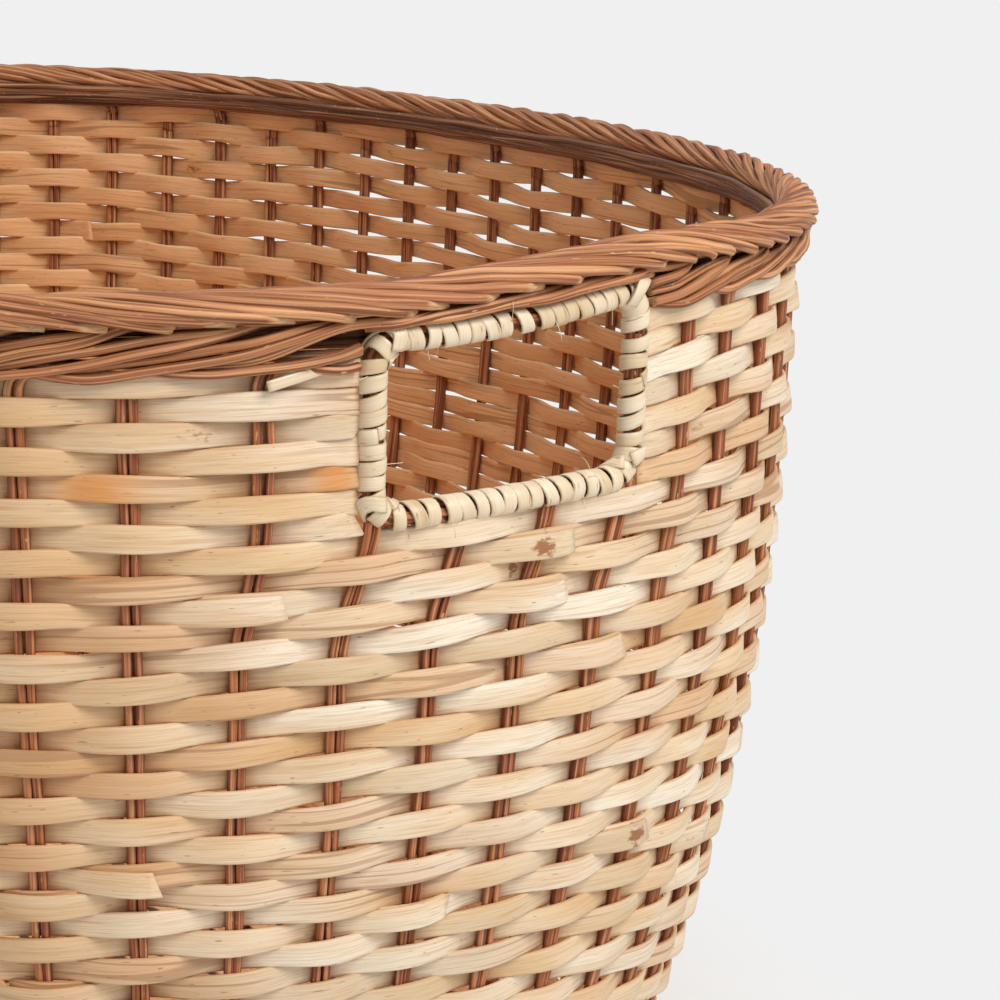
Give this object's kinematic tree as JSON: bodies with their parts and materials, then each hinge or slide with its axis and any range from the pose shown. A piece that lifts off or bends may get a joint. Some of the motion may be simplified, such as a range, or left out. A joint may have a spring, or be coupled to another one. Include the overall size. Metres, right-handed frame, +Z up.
{
  "type": "laundry basket",
  "caption": "Open oval laundry basket of flat split-rattan strips woven over paired cane stakes, with a rolled cane border and a bound hand hole at each end.",
  "frame": {"origin": "on the floor under the middle of the base", "axes": "+X along the length, through the hand hole at the right-hand end; +Y towards the back; +Z up"},
  "size_m": [0.6296, 0.4516, 0.3051],
  "materials": {
    "split_rattan": "satin split rattan strip with lengthwise grain",
    "brown_cane": "matt reddish-brown cane",
    "border_cane": "matt tan cane with lengthwise grain",
    "rattan_peel": "smooth pale rattan peel with a soft gloss"
  },
  "bodies": {
    "root": {"base_mat": "split_rattan", "border_band_back": "border_cane", "border_band_front": "border_cane", "border_roll": "border_cane", "foot_ring": "brown_cane", "handle_binding_left_lower": "rattan_peel", "handle_binding_left_upper": "rattan_peel", "handle_binding_right_lower": "rattan_peel", "handle_binding_right_upper": "rattan_peel", "handle_hoop_left": "brown_cane", "handle_hoop_right": "brown_cane", "stake_hairpin_01": "brown_cane", "stake_hairpin_02": "brown_cane", "stake_hairpin_03": "brown_cane", "stake_hairpin_04": "brown_cane", "stake_hairpin_05": "brown_cane", "stake_hairpin_06": "brown_cane", "stake_hairpin_07": "brown_cane", "stake_hairpin_08": "brown_cane", "stake_hairpin_09": "brown_cane", "stake_hairpin_10": "brown_cane", "stake_hairpin_11": "brown_cane", "stake_hairpin_12": "brown_cane", "stake_hairpin_13": "brown_cane", "stake_hairpin_14": "brown_cane", "stake_hairpin_15": "brown_cane", "stake_hairpin_16": "brown_cane", "stake_hairpin_17": "brown_cane", "stake_hairpin_18": "brown_cane", "stake_hairpin_19": "brown_cane", "stake_hairpin_20": "brown_cane", "stake_hairpin_21": "brown_cane", "stake_hairpin_22": "brown_cane", "stake_hairpin_23": "brown_cane", "stake_hairpin_24": "brown_cane", "stake_hairpin_25": "brown_cane", "stake_hairpin_26": "brown_cane", "stake_hairpin_27": "brown_cane", "stake_hairpin_28": "brown_cane", "stake_hairpin_29": "brown_cane", "stake_hairpin_30": "brown_cane", "stake_hairpin_31": "brown_cane", "stake_hairpin_32": "brown_cane", "weaver_back_01": "split_rattan", "weaver_back_02": "split_rattan", "weaver_course_03": "split_rattan", "weaver_course_04": "split_rattan", "weaver_course_05": "split_rattan", "weaver_course_06": "split_rattan", "weaver_course_07": "split_rattan", "weaver_course_08": "split_rattan", "weaver_course_09": "split_rattan", "weaver_course_10": "split_rattan", "weaver_course_11": "split_rattan", "weaver_course_12": "split_rattan", "weaver_course_13": "split_rattan", "weaver_course_14": "split_rattan", "weaver_front_01": "split_rattan", "weaver_front_02": "split_rattan"}
  },
  "joints": []
}
